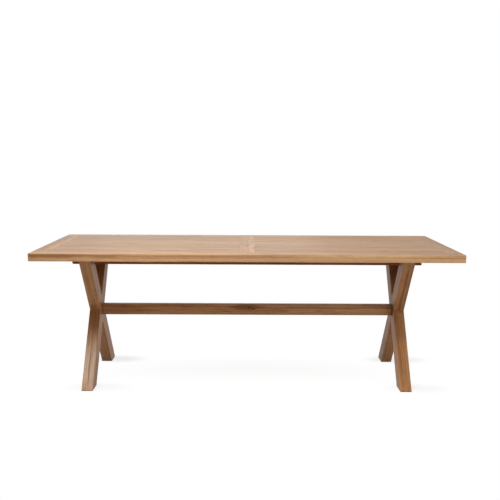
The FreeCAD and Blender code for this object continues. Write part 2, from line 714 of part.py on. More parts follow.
def build_underside(doc):
    """Cleats and battens in the recess, and the bearers under them."""
    pieces = [batten(doc, "centre_batten", "0", "Sizes.batten_width")]
    for half, side in SIDES:
        cleat_x = f"{side} * Layout.frame_place"
        batten_x = f"{side} * Sizes.batten_place"
        beside_legs = f"{side} * (Layout.cleat_screw_x - Layout.frame_place)"
        cleat = batten(doc, f"{half}_cleat", cleat_x, "Sizes.cleat_width", beside_legs, True)
        pieces += [cleat, batten(doc, f"{half}_batten", batten_x, "Sizes.batten_width")]
    return pieces + [bearer(doc, "front_bearer", -1), bearer(doc, "back_bearer", 1)]


def build_base(doc):
    """The four legs and the stretcher between them."""
    legs = [leg(doc, half, side, foot_at) for half, side in SIDES for foot_at in ("front", "back")]
    return legs + [stretcher(doc)]


def build_fasteners(doc):
    """Bolts, washers, barrel nuts and screws."""
    lines = screw_lines(doc.Layout)
    under = "Layout.frame_under"
    cleats = [f"{side} * Layout.frame_place" for _, side in SIDES]
    battens = ["-Sizes.batten_place", "0", "Sizes.batten_place"]
    at_cleats = [(x, y, under) for x in cleats for y in lines]
    at_battens = [(x, y, under) for x in battens for y in lines]
    bearers = [f"{side} * Layout.bearer_y" for _, side in SIDES]
    in_bearers = [(x, y, "Layout.bearer_screw_seat") for x in bearer_screw_places() for y in bearers]
    return [
        pair(doc, "stretcher_bolts", bolt),
        pair(doc, "bolt_washers", washer),
        pair(doc, "barrel_nuts", barrel_nut),
        screws(doc, "cleat_screws", "Layout.board_screw_length", at_cleats),
        screws(doc, "batten_screws", "Layout.board_screw_length", at_battens),
        screws(doc, "bearer_screws", "Layout.bearer_screw_length", in_bearers),
    ]


def check(doc, pieces):
    """Stops the build if an object has failed or a piece has no sound shape."""
    failed = [item.Name for item in doc.Objects if {"Invalid", "Error"} & set(item.State)]
    shapes = {piece.Label: piece.Shape for piece in pieces}
    unsound = [name for name, shape in shapes.items() if shape.isNull() or not shape.isValid()]
    if failed or unsound:
        raise RuntimeError(f"failed objects: {failed}; unsound pieces: {unsound}")


def main():
    """Builds the table and writes each piece to a STEP file of its own name."""
    doc = FreeCAD.newDocument("SawbuckTable")
    write_sizes(doc)
    pieces = build_top(doc) + build_underside(doc) + build_base(doc) + build_fasteners(doc)
    doc.recompute()
    check(doc, pieces)
    os.makedirs("parts", exist_ok=True)
    for piece in pieces:
        piece.Shape.exportStep(f"parts/{piece.Label}.step")


main()
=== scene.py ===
"""The looks of a sawbuck dining table, built around its CAD frame.

The wood is shaded as sawn timber: each piece is cut from its own place in a log, and its rings, pores
and tone follow its grain. The screws are made in full with Geometry Nodes. Lengths are in metres, +X
runs along the top, -Y is the front and +Z is up.
"""

import logging
import math
from collections.abc import Iterable, Mapping
from dataclasses import dataclass, field, replace
from enum import Enum

import bmesh
import bpy
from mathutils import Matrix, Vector


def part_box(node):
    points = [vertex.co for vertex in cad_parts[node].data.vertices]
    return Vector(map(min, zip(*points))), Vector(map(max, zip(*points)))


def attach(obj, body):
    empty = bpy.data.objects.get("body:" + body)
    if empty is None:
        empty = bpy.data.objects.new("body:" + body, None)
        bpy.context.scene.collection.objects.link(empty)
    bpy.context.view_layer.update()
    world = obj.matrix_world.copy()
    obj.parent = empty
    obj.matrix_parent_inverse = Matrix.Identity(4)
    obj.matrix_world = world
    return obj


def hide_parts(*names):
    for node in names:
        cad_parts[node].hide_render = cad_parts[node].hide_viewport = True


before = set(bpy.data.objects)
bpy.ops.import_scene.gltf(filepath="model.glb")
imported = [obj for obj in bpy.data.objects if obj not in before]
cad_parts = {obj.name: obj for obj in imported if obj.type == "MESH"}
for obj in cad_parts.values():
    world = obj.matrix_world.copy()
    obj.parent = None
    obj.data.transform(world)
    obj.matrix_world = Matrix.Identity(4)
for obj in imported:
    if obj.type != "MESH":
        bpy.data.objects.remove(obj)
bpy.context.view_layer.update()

Colour = tuple[float, float, float, float]
Triple = tuple[float, float, float]
Pair = tuple[float, float]

BODY = "root"
HALVES = ("left", "right")
ALONG_X: Triple = (1.0, 0.0, 0.0)
ALONG_Y: Triple = (0.0, 1.0, 0.0)
WHITE: Triple = (1.0, 1.0, 1.0)
FULL_LEVEL = 255

logging.basicConfig(level=logging.INFO, format="%(name)s: %(message)s")
log = logging.getLogger("sawbuck_table")


def shown(red: float, green: float, blue: float) -> Colour:
    """Turns a colour as a screen shows it into the linear one that a shader takes.

    Args:
        red: From 0 to 255.
        green: From 0 to 255.
        blue: From 0 to 255.

    Returns:
        The linear colour, opaque.
    """

    def linear(level: float) -> float:
        """One channel, from 0 to 1, by the standard curve of a screen."""
        return level / 12.92 if level <= 0.04045 else ((level + 0.055) / 1.055) ** 2.4

    return (*(linear(channel / FULL_LEVEL) for channel in (red, green, blue)), 1.0)


# ---------------------------------------------------------------- node trees


def find_socket(sockets: bpy.types.bpy_prop_collection, key: str | int) -> bpy.types.NodeSocket:
    """Finds one socket of a node.

    Args:
        sockets: The node's inputs or outputs.
        key: The socket's place, identifier or name.

    Returns:
        The first socket that fits.
    """
    if isinstance(key, int):
        return sockets[key]
    return next(socket for socket in sockets if key in (socket.identifier, socket.name))


class Signal:
    """A number that runs through a node tree; Python's operators on it add Math nodes."""

    def __init__(self, tree: "Tree", socket: bpy.types.NodeSocket) -> None:
        """Wraps a socket.

        Args:
            tree: The tree that the socket's node is in.
            socket: An output that carries a number.
        """
        self.tree = tree
        self.socket = socket

    def __add__(self, other: "Number") -> "Signal":
        """The sum of two numbers."""
        return self.tree.maths("ADD", self, other)

    def __radd__(self, other: "Number") -> "Signal":
        """The sum of two numbers."""
        return self.tree.maths("ADD", other, self)

    def __sub__(self, other: "Number") -> "Signal":
        """This number less another."""
        return self.tree.maths("SUBTRACT", self, other)

    def __rsub__(self, other: "Number") -> "Signal":
        """Another number less this one."""
        return self.tree.maths("SUBTRACT", other, self)

    def __mul__(self, other: "Number") -> "Signal":
        """The product of two numbers."""
        return self.tree.maths("MULTIPLY", self, other)

    def __rmul__(self, other: "Number") -> "Signal":
        """The product of two numbers."""
        return self.tree.maths("MULTIPLY", other, self)

    def __truediv__(self, other: "Number") -> "Signal":
        """This number over another."""
        return self.tree.maths("DIVIDE", self, other)

    def __rtruediv__(self, other: "Number") -> "Signal":
        """Another number over this one."""
        return self.tree.maths("DIVIDE", other, self)

    def __pow__(self, other: "Number") -> "Signal":
        """This number to a power."""
        return self.tree.maths("POWER", self, other)

    def __rpow__(self, other: "Number") -> "Signal":
        """A base to the power of this number."""
        return self.tree.maths("POWER", other, self)

    def __abs__(self) -> "Signal":
        """This number without its sign."""
        return self.tree.maths("ABSOLUTE", self)

    def fraction(self) -> "Signal":
        """What is left of this number past its whole part."""
        return self.tree.maths("FRACT", self)

    def largest(self, other: "Number") -> "Signal":
        """The larger of two numbers."""
        return self.tree.maths("MAXIMUM", self, other)

    def rise(self, start: float, end: float) -> "Signal":
        """A smooth step.

        Args:
            start: Where it leaves 0.
            end: Where it reaches 1.

        Returns:
            The step, from 0 to 1.
        """
        return self.tree.signal(
            "ShaderNodeMapRange",
            {"interpolation_type": "SMOOTHSTEP"},
            {"Value": self, "From Min": start, "From Max": end},
        )


Number = Signal | float


class Tree:
    """A node tree, and the ways in which nodes are added to it."""

    def __init__(self, data: bpy.types.NodeTree) -> None:
        """Wraps a tree that Blender has made.

        Args:
            data: The tree.
        """
        self.data = data

    def node(
        self,
        kind: str,
        settings: Mapping[str, object] | None = None,
        inputs: Mapping[str | int, object] | None = None,
    ) -> bpy.types.Node:
        """Adds a node.

        Args:
            kind: The node's type.
            settings: Its properties, which are set first.
            inputs: What goes into its inputs, by place, identifier or name, as feed() takes it.

        Returns:
            The new node.
        """
        made = self.data.nodes.new(kind)
        for name, setting in (settings or {}).items():
            setattr(made, name, setting)
        for key, given in (inputs or {}).items():
            self.feed(find_socket(made.inputs, key), given)
        return made

    def feed(self, socket: bpy.types.NodeSocket, given: object) -> None:
        """Gives an input its value or its links.

        Args:
            socket: The input.
            given: A value, Signal, socket or list of sockets.
        """
        if isinstance(given, list):
            for one in given:
                self.feed(socket, one)
        elif isinstance(given, Signal):
            self.data.links.new(given.socket, socket)
        elif isinstance(given, bpy.types.NodeSocket):
            self.data.links.new(given, socket)
        else:
            socket.default_value = given

    def out(
        self,
        kind: str,
        settings: Mapping[str, object] | None = None,
        inputs: Mapping[str | int, object] | None = None,
        output: str | int = 0,
    ) -> bpy.types.NodeSocket:
        """Adds a node, as node() does, and returns one of its outputs."""
        return find_socket(self.node(kind, settings, inputs).outputs, output)

    def signal(
        self,
        kind: str,
        settings: Mapping[str, object] | None = None,
        inputs: Mapping[str | int, object] | None = None,
        output: str | int = 0,
    ) -> Signal:
        """Adds a node, as node() does, and wraps one of its outputs as a number."""
        return Signal(self, self.out(kind, settings, inputs, output))

    def maths(self, operation: str, *values: Number) -> Signal:
        """Adds a Math node.

        Args:
            operation: What it does.
            values: What it does it to.

        Returns:
            Its result.
        """
        return self.signal("ShaderNodeMath", {"operation": operation}, dict(enumerate(values)))

    def vector(self, operation: str, inputs: Mapping[str | int, object]) -> bpy.types.NodeSocket:
        """Adds a Vector Math node.

        Args:
            operation: What it does.
            inputs: What it does it to.

        Returns:
            The resulting vector.
        """
        return self.out("ShaderNodeVectorMath", {"operation": operation}, inputs)

    def oval(self, place: object, reach: Triple) -> Signal:
        """Measures how far a point lies from the middle of an oval.

        Args:
            place: The point, from the oval's middle.
            reach: Half the oval's size along each axis.

        Returns:
            From 0 in its middle to 1 at its edge, and on outwards.
        """
        scaled = self.vector("DIVIDE", {0: place, 1: reach})
        return self.signal("ShaderNodeVectorMath", {"operation": "LENGTH"}, {0: scaled}, "Value")

    def mix(self, share: Signal, first: object, second: object) -> bpy.types.NodeSocket:
        """Blends two colours.

        Args:
            share: How much of the second colour there is.
            first: A colour, or a socket that carries one.
            second: A colour, or a socket that carries one.

        Returns:
            The blend.
        """
        inputs = {"Factor_Float": share, "A_Color": first, "B_Color": second}
        return self.out("ShaderNodeMix", {"data_type": "RGBA"}, inputs, "Result_Color")


def empty_tree(owner: bpy.types.Material | bpy.types.World) -> Tree:
    """Turns on the node tree of a material or a world, and empties it.

    Args:
        owner: What the tree belongs to.

    Returns:
        The tree.
    """
    owner.use_nodes = True
    owner.node_tree.nodes.clear()
    return Tree(owner.node_tree)


# ---------------------------------------------------------------- timber

SEED_STEP: Pair = (7.31, 3.17)  # how far apart the noises of two pieces lie, on their first two axes
SHIFT_STEP = 1.7  # how far apart the noises of one piece lie, on their third axis
NOISE_ROUGHNESS = 0.55
NOISE_AVERAGE = 0.5


class Tone(Enum):
    """How light a piece of timber is beside its neighbours."""

    PALE = 1.10
    PLAIN = 1.0
    DEEP = 0.92


class Growth(Enum):
    """What a mark is, which sets its colour and how sharp its edge is. Heartwood marks are also used as
    painted shade, and sapwood marks as painted highlight and painted reflection.
    """

    KNOT = "knot"
    # heartwood, and also painted shade
    HEART = "heart"
    # sapwood, and also painted highlight and painted reflection
    SAPWOOD = "sapwood"


@dataclass(frozen=True)
class Mark:
    """A knot, a dark streak of heartwood, a pale band of sapwood, a patch of painted shade in the
    heartwood's colour, or a patch of painted highlight or painted reflection in the sapwood's colour.

    Attributes:
        growth: Which of them it is.
        middle: Its middle along, across and through the piece, from the piece's middle.
        reach: Half its size along, across and through the piece.
        share: How strongly it shows.
    """

    growth: Growth
    middle: Triple
    reach: Triple
    share: float


@dataclass(frozen=True)
class Cut:
    """How one piece was sawn from its log.

    Attributes:
        grain: The way that the grain runs.
        middle: The middle of the piece.
        seed: Sets this piece apart from all others.
        pith: Where the log's pith runs beside the piece: across it, and through it.
        tone: How light it is.
        marks: Its knots, streaks and bands, and the patches of painted shade, painted highlight and
            painted reflection that it has.
        sole_shade_height: How high the painted contact shade reaches above the floor where the piece
            stands on it, or 0.
    """

    grain: Triple
    middle: Triple
    seed: float
    pith: Pair
    tone: Tone = Tone.PLAIN
    marks: tuple[Mark, ...] = ()
    sole_shade_height: float = 0.0

    def turn(self) -> Triple:
        """The rotation that lays the X axis along the grain."""
        return tuple(Vector(self.grain).to_track_quat("X", "Z").to_euler())


@dataclass(frozen=True)
class Noise:
    """One of the noises that wood is shaded with, stretched along the grain.

    Attributes:
        stretch: How fast it changes along, across and through a piece.
        shift: Sets it apart from the piece's other noises.
        detail: How many finer octaves it has.
    """

    stretch: Triple
    shift: float
    detail: float = 2.0

    def at(self, tree: Tree, place: object, cut: Cut) -> Signal:
        """Reads the noise at a point.

        Args:
            tree: The material's tree.
            place: The point, from the piece's middle, with X along the grain.
            cut: How the piece was sawn.

        Returns:
            The noise, about 0 to 1 and 0.5 on average.
        """
        offset = (
            cut.seed * SEED_STEP[0] + self.shift,
            cut.seed * SEED_STEP[1] - self.shift,
            self.shift * SHIFT_STEP,
        )
        spot = tree.vector("MULTIPLY_ADD", {0: place, 1: self.stretch, 2: offset})
        inputs = {"Vector": spot, "Scale": 1.0, "Detail": self.detail, "Roughness": NOISE_ROUGHNESS}
        return tree.signal("ShaderNodeTexNoise", {}, inputs)

    def swing(self, tree: Tree, place: object, cut: Cut) -> Signal:
        """Reads the noise at a point, less its average, so that it swings both ways from 0."""
        return self.at(tree, place, cut) - NOISE_AVERAGE


@dataclass(frozen=True)
class Pattern:
    """How rings, pores, flecks and marks are shaped, which is the same in all the table's timber.

    Attributes:
        sway: Bends the rings across a piece.
        swell: Bends them through it.
        ripple: Frays their edges.
        ripple_years: How far it frays them, in rings.
        knot_years: How many rings a knot bends aside.
        late_rise: Where in a ring late wood begins and where it is full, as shares of the ring.
        late_fall: Where it starts to end and where it has ended.
        faintest_year: How strongly the faintest year's late wood shows.
        year_range: How much more strongly the boldest year's does.
        clouds: Broad patches.
        streaks: Long streaks.
        fleck_shift: Sets the flecks' noise apart from the other ones.
        fleck_edge: The noise at which a fleck begins and at which it is full.
        pores: Fine pores, long along the grain.
        pore_edge: The noise at which a pore begins and at which it is full.
        fray: Frays the edges of the marks.
        fray_reach: How far it frays them, as a share of a mark's reach.
        knot_core: Where a knot starts to fade, as a share of its reach.
        streak_core: Where a streak or a band does.
        end_edge: The cosine of grain and a face's normal where end grain begins and where it is full.
    """

    sway: Noise = Noise((0.9, 6.0, 6.0), 11.0)
    swell: Noise = Noise((1.3, 9.0, 9.0), 23.0)
    ripple: Noise = Noise((4.0, 160.0, 160.0), 5.0)
    ripple_years: float = 0.9
    knot_years: float = 2.5
    late_rise: Pair = (0.25, 0.92)
    late_fall: Pair = (0.93, 1.0)
    faintest_year: float = 0.55
    year_range: float = 0.6
    clouds: Noise = Noise((1.1, 7.0, 7.0), 71.0)
    streaks: Noise = Noise((1.6, 130.0, 130.0), 83.0, 3.0)
    fleck_shift: float = 97.0
    fleck_edge: Pair = (0.54, 0.76)
    pores: Noise = Noise((55.0, 1500.0, 1500.0), 41.0, 1.0)
    pore_edge: Pair = (0.58, 0.72)
    fray: Noise = Noise((9.0, 110.0, 110.0), 61.0, 3.0)
    fray_reach: float = 1.1
    knot_core: float = 0.2
    streak_core: float = 0.35
    end_edge: Pair = (0.7, 0.95)


@dataclass(frozen=True)
class Lacquer:
    """A satin lacquer, in which pores and rings show in relief.

    Attributes:
        roughness: How rough it is over early wood.
        gloss: How strongly it mirrors, from 0 to 1.
        late_roughness: How much rougher it is over late wood.
        pore_roughness: How much rougher it is over a pore.
        end_roughness: How much rougher it is on end grain.
        refraction: Its index of refraction.
        relief: How strongly the relief shows.
        relief_height: How deep a pore is.
        ring_relief: How high late wood stands, as a share of a pore's depth.
    """

    roughness: float
    gloss: float
    late_roughness: float = 0.05
    pore_roughness: float = 0.1
    end_roughness: float = 0.2
    refraction: float = 1.5
    relief: float = 0.35
    relief_height: float = 0.0004
    ring_relief: float = 0.35

    def over(
        self, tree: Tree, colour: bpy.types.NodeSocket, late: Signal, pores: Signal, end: Signal
    ) -> bpy.types.NodeSocket:
        """Lays the lacquer over the wood.

        Args:
            tree: The material's tree.
            colour: The wood's colour.
            late: How far the point is into late wood.
            pores: The pores.
            end: How far the face cuts across the grain.

        Returns:
            The finished surface.
        """
        height = late * self.ring_relief - pores
        relief = tree.out(
            "ShaderNodeBump",
            {},
            {"Strength": self.relief, "Distance": self.relief_height, "Height": height},
        )
        rough = self.roughness + late * self.late_roughness + pores * self.pore_roughness
        return tree.out(
            "ShaderNodeBsdfPrincipled",
            {},
            {
                "Base Color": colour,
                "Roughness": rough + end * self.end_roughness,
                "IOR": self.refraction,
                "Specular IOR Level": self.gloss,
                "Normal": relief,
            },
        )


@dataclass(frozen=True)
class Timber:
    """A kind of timber with its finish, which can dress a piece of any cut.

    Attributes:
        early: The wood that grows in spring.
        late: The wood at the end of each ring.
        pale: The sapwood, also laid as painted highlight and painted reflection.
        heart: Streaks of heartwood, and flecks, and also laid as painted shade.
        dark: Knots, pores, and the painted contact shade at the foot of a leg.
        lacquer: Its finish.
        ring_width: The width of a year's ring.
        ring_strength: How strongly the late wood shows.
        wander: How far the rings stray from true circles.
        figure: How strongly long streaks show.
        cloud: How strongly broad patches show.
        fleck_depth: How much the flecks darken the wood.
        fleck_stretch: How fast the flecks change along, across and through a piece.
        pore_depth: How much the pores darken the wood.
        sole_shade_depth: How strongly the painted contact shade darkens the foot of a leg.
        end_depth: How much darker end grain is.
        pattern: How all of these are shaped.
    """

    early: Colour
    late: Colour
    pale: Colour
    heart: Colour
    dark: Colour
    lacquer: Lacquer
    ring_width: float = 0.0042
    ring_strength: float = 0.72
    wander: float = 0.022
    figure: float = 0.50
    cloud: float = 0.30
    fleck_depth: float = 0.55
    fleck_stretch: Triple = (9.0, 90.0, 90.0)
    pore_depth: float = 0.34
    sole_shade_depth: float = 0.75
    end_depth: float = 0.38
    pattern: Pattern = Pattern()

    def material(self, name: str, cut: Cut) -> bpy.types.Material:
        """Makes the material of one piece.

        Args:
            name: The material's name.
            cut: How the piece was sawn.

        Returns:
            The new material.
        """
        material = bpy.data.materials.new(name)
        tree = empty_tree(material)
        source = tree.node("ShaderNodeTexCoord")
        place = tree.out(
            "ShaderNodeMapping",
            {"vector_type": "TEXTURE"},
            {"Vector": source.outputs["Object"], "Location": cut.middle, "Rotation": cut.turn()},
        )
        masks = [(mark, self.mark(tree, place, cut, mark)) for mark in cut.marks]
        late, yearly = self.rings(tree, place, cut, masks)
        pores = self.pores(tree, place, cut)
        end = self.end_grain(tree, source.outputs["Normal"], cut)
        colour = tree.mix(late * self.ring_strength * yearly, self.early, self.late)
        # Marks in the heartwood's colour also lay painted shade, and marks in the sapwood's colour lay
        # painted highlight and painted reflection.
        other = {Growth.KNOT: self.dark, Growth.HEART: self.heart, Growth.SAPWOOD: self.pale}
        for mark, mask in masks:
            colour = tree.mix(mask * mark.share, colour, other[mark.growth])
        colour = tree.mix(self.flecks(tree, place, cut) * self.fleck_depth, colour, self.heart)
        colour = tree.mix(pores * self.pore_depth, colour, self.dark)
        # painted contact shade: the foot of a leg darker towards the floor
        if cut.sole_shade_height:
            height = tree.signal("ShaderNodeSeparateXYZ", {}, {0: source.outputs["Object"]}, "Z")
            colour = tree.mix(self.sole_shade_depth * (1 - height.rise(0.0, cut.sole_shade_height)), colour, self.dark)
        light = self.light(tree, place, cut) * (1 - self.end_depth * end)
        colour = tree.vector("SCALE", {0: colour, "Scale": light})
        surface = self.lacquer.over(tree, colour, late, pores, end)
        tree.node("ShaderNodeOutputMaterial", {}, {"Surface": surface})
        return material

    def rings(
        self, tree: Tree, place: object, cut: Cut, masks: Iterable[tuple[Mark, Signal]]
    ) -> tuple[Signal, Signal]:
        """The growth rings, which bend round the knots.

        Args:
            tree: The material's tree.
            place: The point in the piece.
            cut: How the piece was sawn.
            masks: The piece's marks, and how far the point is into each.

        Returns:
            How far the point is into late wood, and how strongly its year shows.
        """
        pattern = self.pattern
        split = tree.node("ShaderNodeSeparateXYZ", {}, {0: place})
        sway = pattern.sway.swing(tree, place, cut)
        swell = pattern.swell.swing(tree, place, cut)
        across = Signal(tree, split.outputs["Y"]) - cut.pith[0] + sway * self.wander
        deep = Signal(tree, split.outputs["Z"]) - cut.pith[1] + swell * self.wander
        radius = (across * across + deep * deep) ** 0.5
        ripple = pattern.ripple.swing(tree, place, cut)
        years = radius / self.ring_width + ripple * pattern.ripple_years
        for mark, mask in masks:
            if mark.growth is Growth.KNOT:
                years = years + mask * pattern.knot_years
        age = years.fraction()
        late = age.rise(*pattern.late_rise) * (1 - age.rise(*pattern.late_fall))
        chance = tree.signal(
            "ShaderNodeTexWhiteNoise", {"noise_dimensions": "1D"}, {"W": years - age + cut.seed}
        )
        return late, pattern.faintest_year + pattern.year_range * chance

    def pores(self, tree: Tree, place: object, cut: Cut) -> Signal:
        """How far a point is into a fine dark pore."""
        return self.pattern.pores.at(tree, place, cut).rise(*self.pattern.pore_edge)

    def flecks(self, tree: Tree, place: object, cut: Cut) -> Signal:
        """How far a point is into a fleck, a short dark stroke along the grain."""
        noise = Noise(self.fleck_stretch, self.pattern.fleck_shift)
        return noise.at(tree, place, cut).rise(*self.pattern.fleck_edge)

    def mark(self, tree: Tree, place: object, cut: Cut, mark: Mark) -> Signal:
        """How far a point is into a mark, whose edge strays along the grain.

        Args:
            tree: The material's tree.
            place: The point in the piece.
            cut: How the piece was sawn.
            mark: The mark.

        Returns:
            From 0 outside to 1 in its middle.
        """
        depth = tree.oval(tree.vector("SUBTRACT", {0: place, 1: mark.middle}), mark.reach)
        fray = self.pattern.fray
        stray = replace(fray, shift=fray.shift + mark.middle[0]).swing(tree, place, cut)
        core = self.pattern.knot_core if mark.growth is Growth.KNOT else self.pattern.streak_core
        return 1 - (depth + stray * self.pattern.fray_reach).rise(core, 1.0)

    def end_grain(self, tree: Tree, normal: bpy.types.NodeSocket, cut: Cut) -> Signal:
        """How far a face cuts across the grain.

        Args:
            tree: The material's tree.
            normal: The way that the face points.
            cut: How the piece was sawn.

        Returns:
            From 0 along the grain to 1 across it.
        """
        along = tuple(Vector(cut.grain).normalized())
        facing = tree.signal(
            "ShaderNodeVectorMath", {"operation": "DOT_PRODUCT"}, {0: normal, 1: along}, "Value"
        )
        return abs(facing).rise(*self.pattern.end_edge)

    def light(self, tree: Tree, place: object, cut: Cut) -> Signal:
        """How light the wood is: broad patches and long streaks on the piece's own tone.

        Args:
            tree: The material's tree.
            place: The point in the piece.
            cut: How the piece was sawn.

        Returns:
            What the colour is multiplied by, about 1.
        """
        broad = self.pattern.clouds.swing(tree, place, cut)
        streaks = self.pattern.streaks.swing(tree, place, cut)
        return (1 + broad * self.cloud + streaks * self.figure) * cut.tone.value


@dataclass(frozen=True)
class PlatedSteel:
    """Zinc-plated steel, a little uneven.

    Attributes:
        colour: The plating's colour.
        roughness: Its mean roughness.
        roughness_range: How much its roughness changes from place to place.
        cloud_scale: How fast it changes.
        cloud_detail: How many finer octaves the change has.
        relief: How strongly its unevenness shows.
        relief_height: How uneven it is.
    """

    colour: Colour
    roughness: float = 0.34
    roughness_range: float = 0.3
    cloud_scale: float = 900.0
    cloud_detail: float = 3.0
    relief: float = 0.15
    relief_height: float = 0.0001

    def material(self, name: str) -> bpy.types.Material:
        """Makes the material.

        Args:
            name: The material's name.

        Returns:
            The new material.
        """
        material = bpy.data.materials.new(name)
        tree = empty_tree(material)
        place = tree.node("ShaderNodeTexCoord").outputs["Object"]
        inputs = {"Vector": place, "Scale": self.cloud_scale, "Detail": self.cloud_detail}
        cloud = tree.signal("ShaderNodeTexNoise", {}, inputs)
        relief = tree.out(
            "ShaderNodeBump",
            {},
            {"Strength": self.relief, "Distance": self.relief_height, "Height": cloud},
        )
        surface = tree.out(
            "ShaderNodeBsdfPrincipled",
            {},
            {
                "Base Color": self.colour,
                "Metallic": 1.0,
                "Roughness": self.roughness + (cloud - NOISE_AVERAGE) * self.roughness_range,
                "Normal": relief,
            },
        )
        tree.node("ShaderNodeOutputMaterial", {}, {"Surface": surface})
        return material


# ---------------------------------------------------------------- the table's timbers and marks

TOP_WOOD = Timber(
    early=shown(184, 143, 103),
    late=shown(148, 108, 72),
    pale=shown(209, 170, 124),
    heart=shown(137, 90, 53),
    dark=shown(84, 53, 30),
    lacquer=Lacquer(roughness=0.42, gloss=0.15),
    fleck_stretch=(8.0, 34.0, 170.0),
)
# Darker and redder than the top's timber, as painted shade for the pieces that sit in the shade under
# the top.
SHADED_UNDERSIDE_WOOD = Timber(
    early=shown(155, 97, 54),
    late=shown(123, 72, 39),
    pale=shown(180, 130, 84),
    heart=shown(98, 55, 28),
    dark=shown(62, 34, 16),
    lacquer=Lacquer(roughness=0.65, gloss=0.05),
)
LEG_WOOD = Timber(
    early=shown(177, 127, 83),
    late=shown(136, 91, 54),
    pale=shown(198, 171, 147),
    heart=shown(104, 63, 30),
    dark=shown(68, 28, 0),
    lacquer=Lacquer(roughness=0.42, gloss=0.13),
    ring_width=0.0062,
    ring_strength=0.8,
    figure=0.60,
    cloud=0.32,
)

BOARD_TONES: dict[str, tuple[Tone, ...]] = {
    "left": (
        Tone.PLAIN, Tone.PLAIN, Tone.DEEP, Tone.PLAIN,
        Tone.PALE, Tone.PLAIN, Tone.DEEP, Tone.DEEP,
    ),
    "right": (
        Tone.PLAIN, Tone.PLAIN, Tone.DEEP, Tone.PLAIN,
        Tone.PALE, Tone.PLAIN, Tone.PLAIN, Tone.DEEP,
    ),
}

# How much darker each left board is towards its left end.
LEFT_BOARD_END_DARKNESS = (0.4, 0.2, 0.4, 0.25, 0.25, 0.25, 0.2)  # their strength, from the front board

TOP_MARKS: dict[str, tuple[Mark, ...]] = {
    "front_stile": (
        # painted shade: the front face darker towards its left end
        Mark(Growth.HEART, (-1.05, -0.046, 0.009), (0.62, 0.03, 0.012), 0.9),
        Mark(Growth.HEART, (-0.20, -0.046, 0.008), (0.55, 0.03, 0.006), 0.4),
        Mark(Growth.SAPWOOD, (-0.30, -0.046, -0.010), (1.10, 0.03, 0.009), 0.25),
        # painted highlight: a pale line along the front top edge
        Mark(Growth.SAPWOOD, (-0.35, -0.043, 0.020), (0.95, 0.009, 0.005), 0.7),
        Mark(Growth.SAPWOOD, (0.72, -0.046, 0.013), (0.60, 0.03, 0.008), 0.5),
        Mark(Growth.SAPWOOD, (0.85, -0.046, -0.005), (0.70, 0.03, 0.009), 0.3),
        # painted shade: the front face darker at its right end
        Mark(Growth.HEART, (0.95, -0.046, 0.004), (0.26, 0.03, 0.005), 0.3),
        # painted shade: the top darker towards its right end
        Mark(Growth.HEART, (1.15, 0.010, 0.022), (0.85, 0.070, 0.022), 0.5),
    ),
    "left_end_rail": (
        Mark(Growth.SAPWOOD, (0.0, -0.028, 0.0), (0.60, 0.016, 0.08), 0.5),
        Mark(Growth.HEART, (0.0, 0.018, 0.0), (0.60, 0.038, 0.08), 0.3),
    ),
    "mid_rail": (Mark(Growth.SAPWOOD, (0.0, -0.024, 0.0), (0.60, 0.024, 0.08), 0.45),),
    "right_end_rail": (Mark(Growth.HEART, (0.0, -0.020, 0.0), (0.60, 0.030, 0.08), 0.25),),
    "right_board_1": (
        # painted shade: the board darker towards its right end
        Mark(Growth.HEART, (0.35, 0.0, 0.010), (0.60, 0.20, 0.050), 0.4),
        # darker towards the board's left end
        Mark(Growth.HEART, (-0.40, 0.0, 0.010), (0.50, 0.20, 0.050), 0.3),
    ),
    # darker towards the board's left end
    "right_board_2": (Mark(Growth.HEART, (-0.38, 0.0, 0.010), (0.40, 0.20, 0.050), 0.15),),
    **{
        f"left_board_{row}": (Mark(Growth.HEART, (-0.50, 0.0, 0.010), (0.36, 0.20, 0.050), share),)
        for row, share in enumerate(LEFT_BOARD_END_DARKNESS, 1)
    },
}

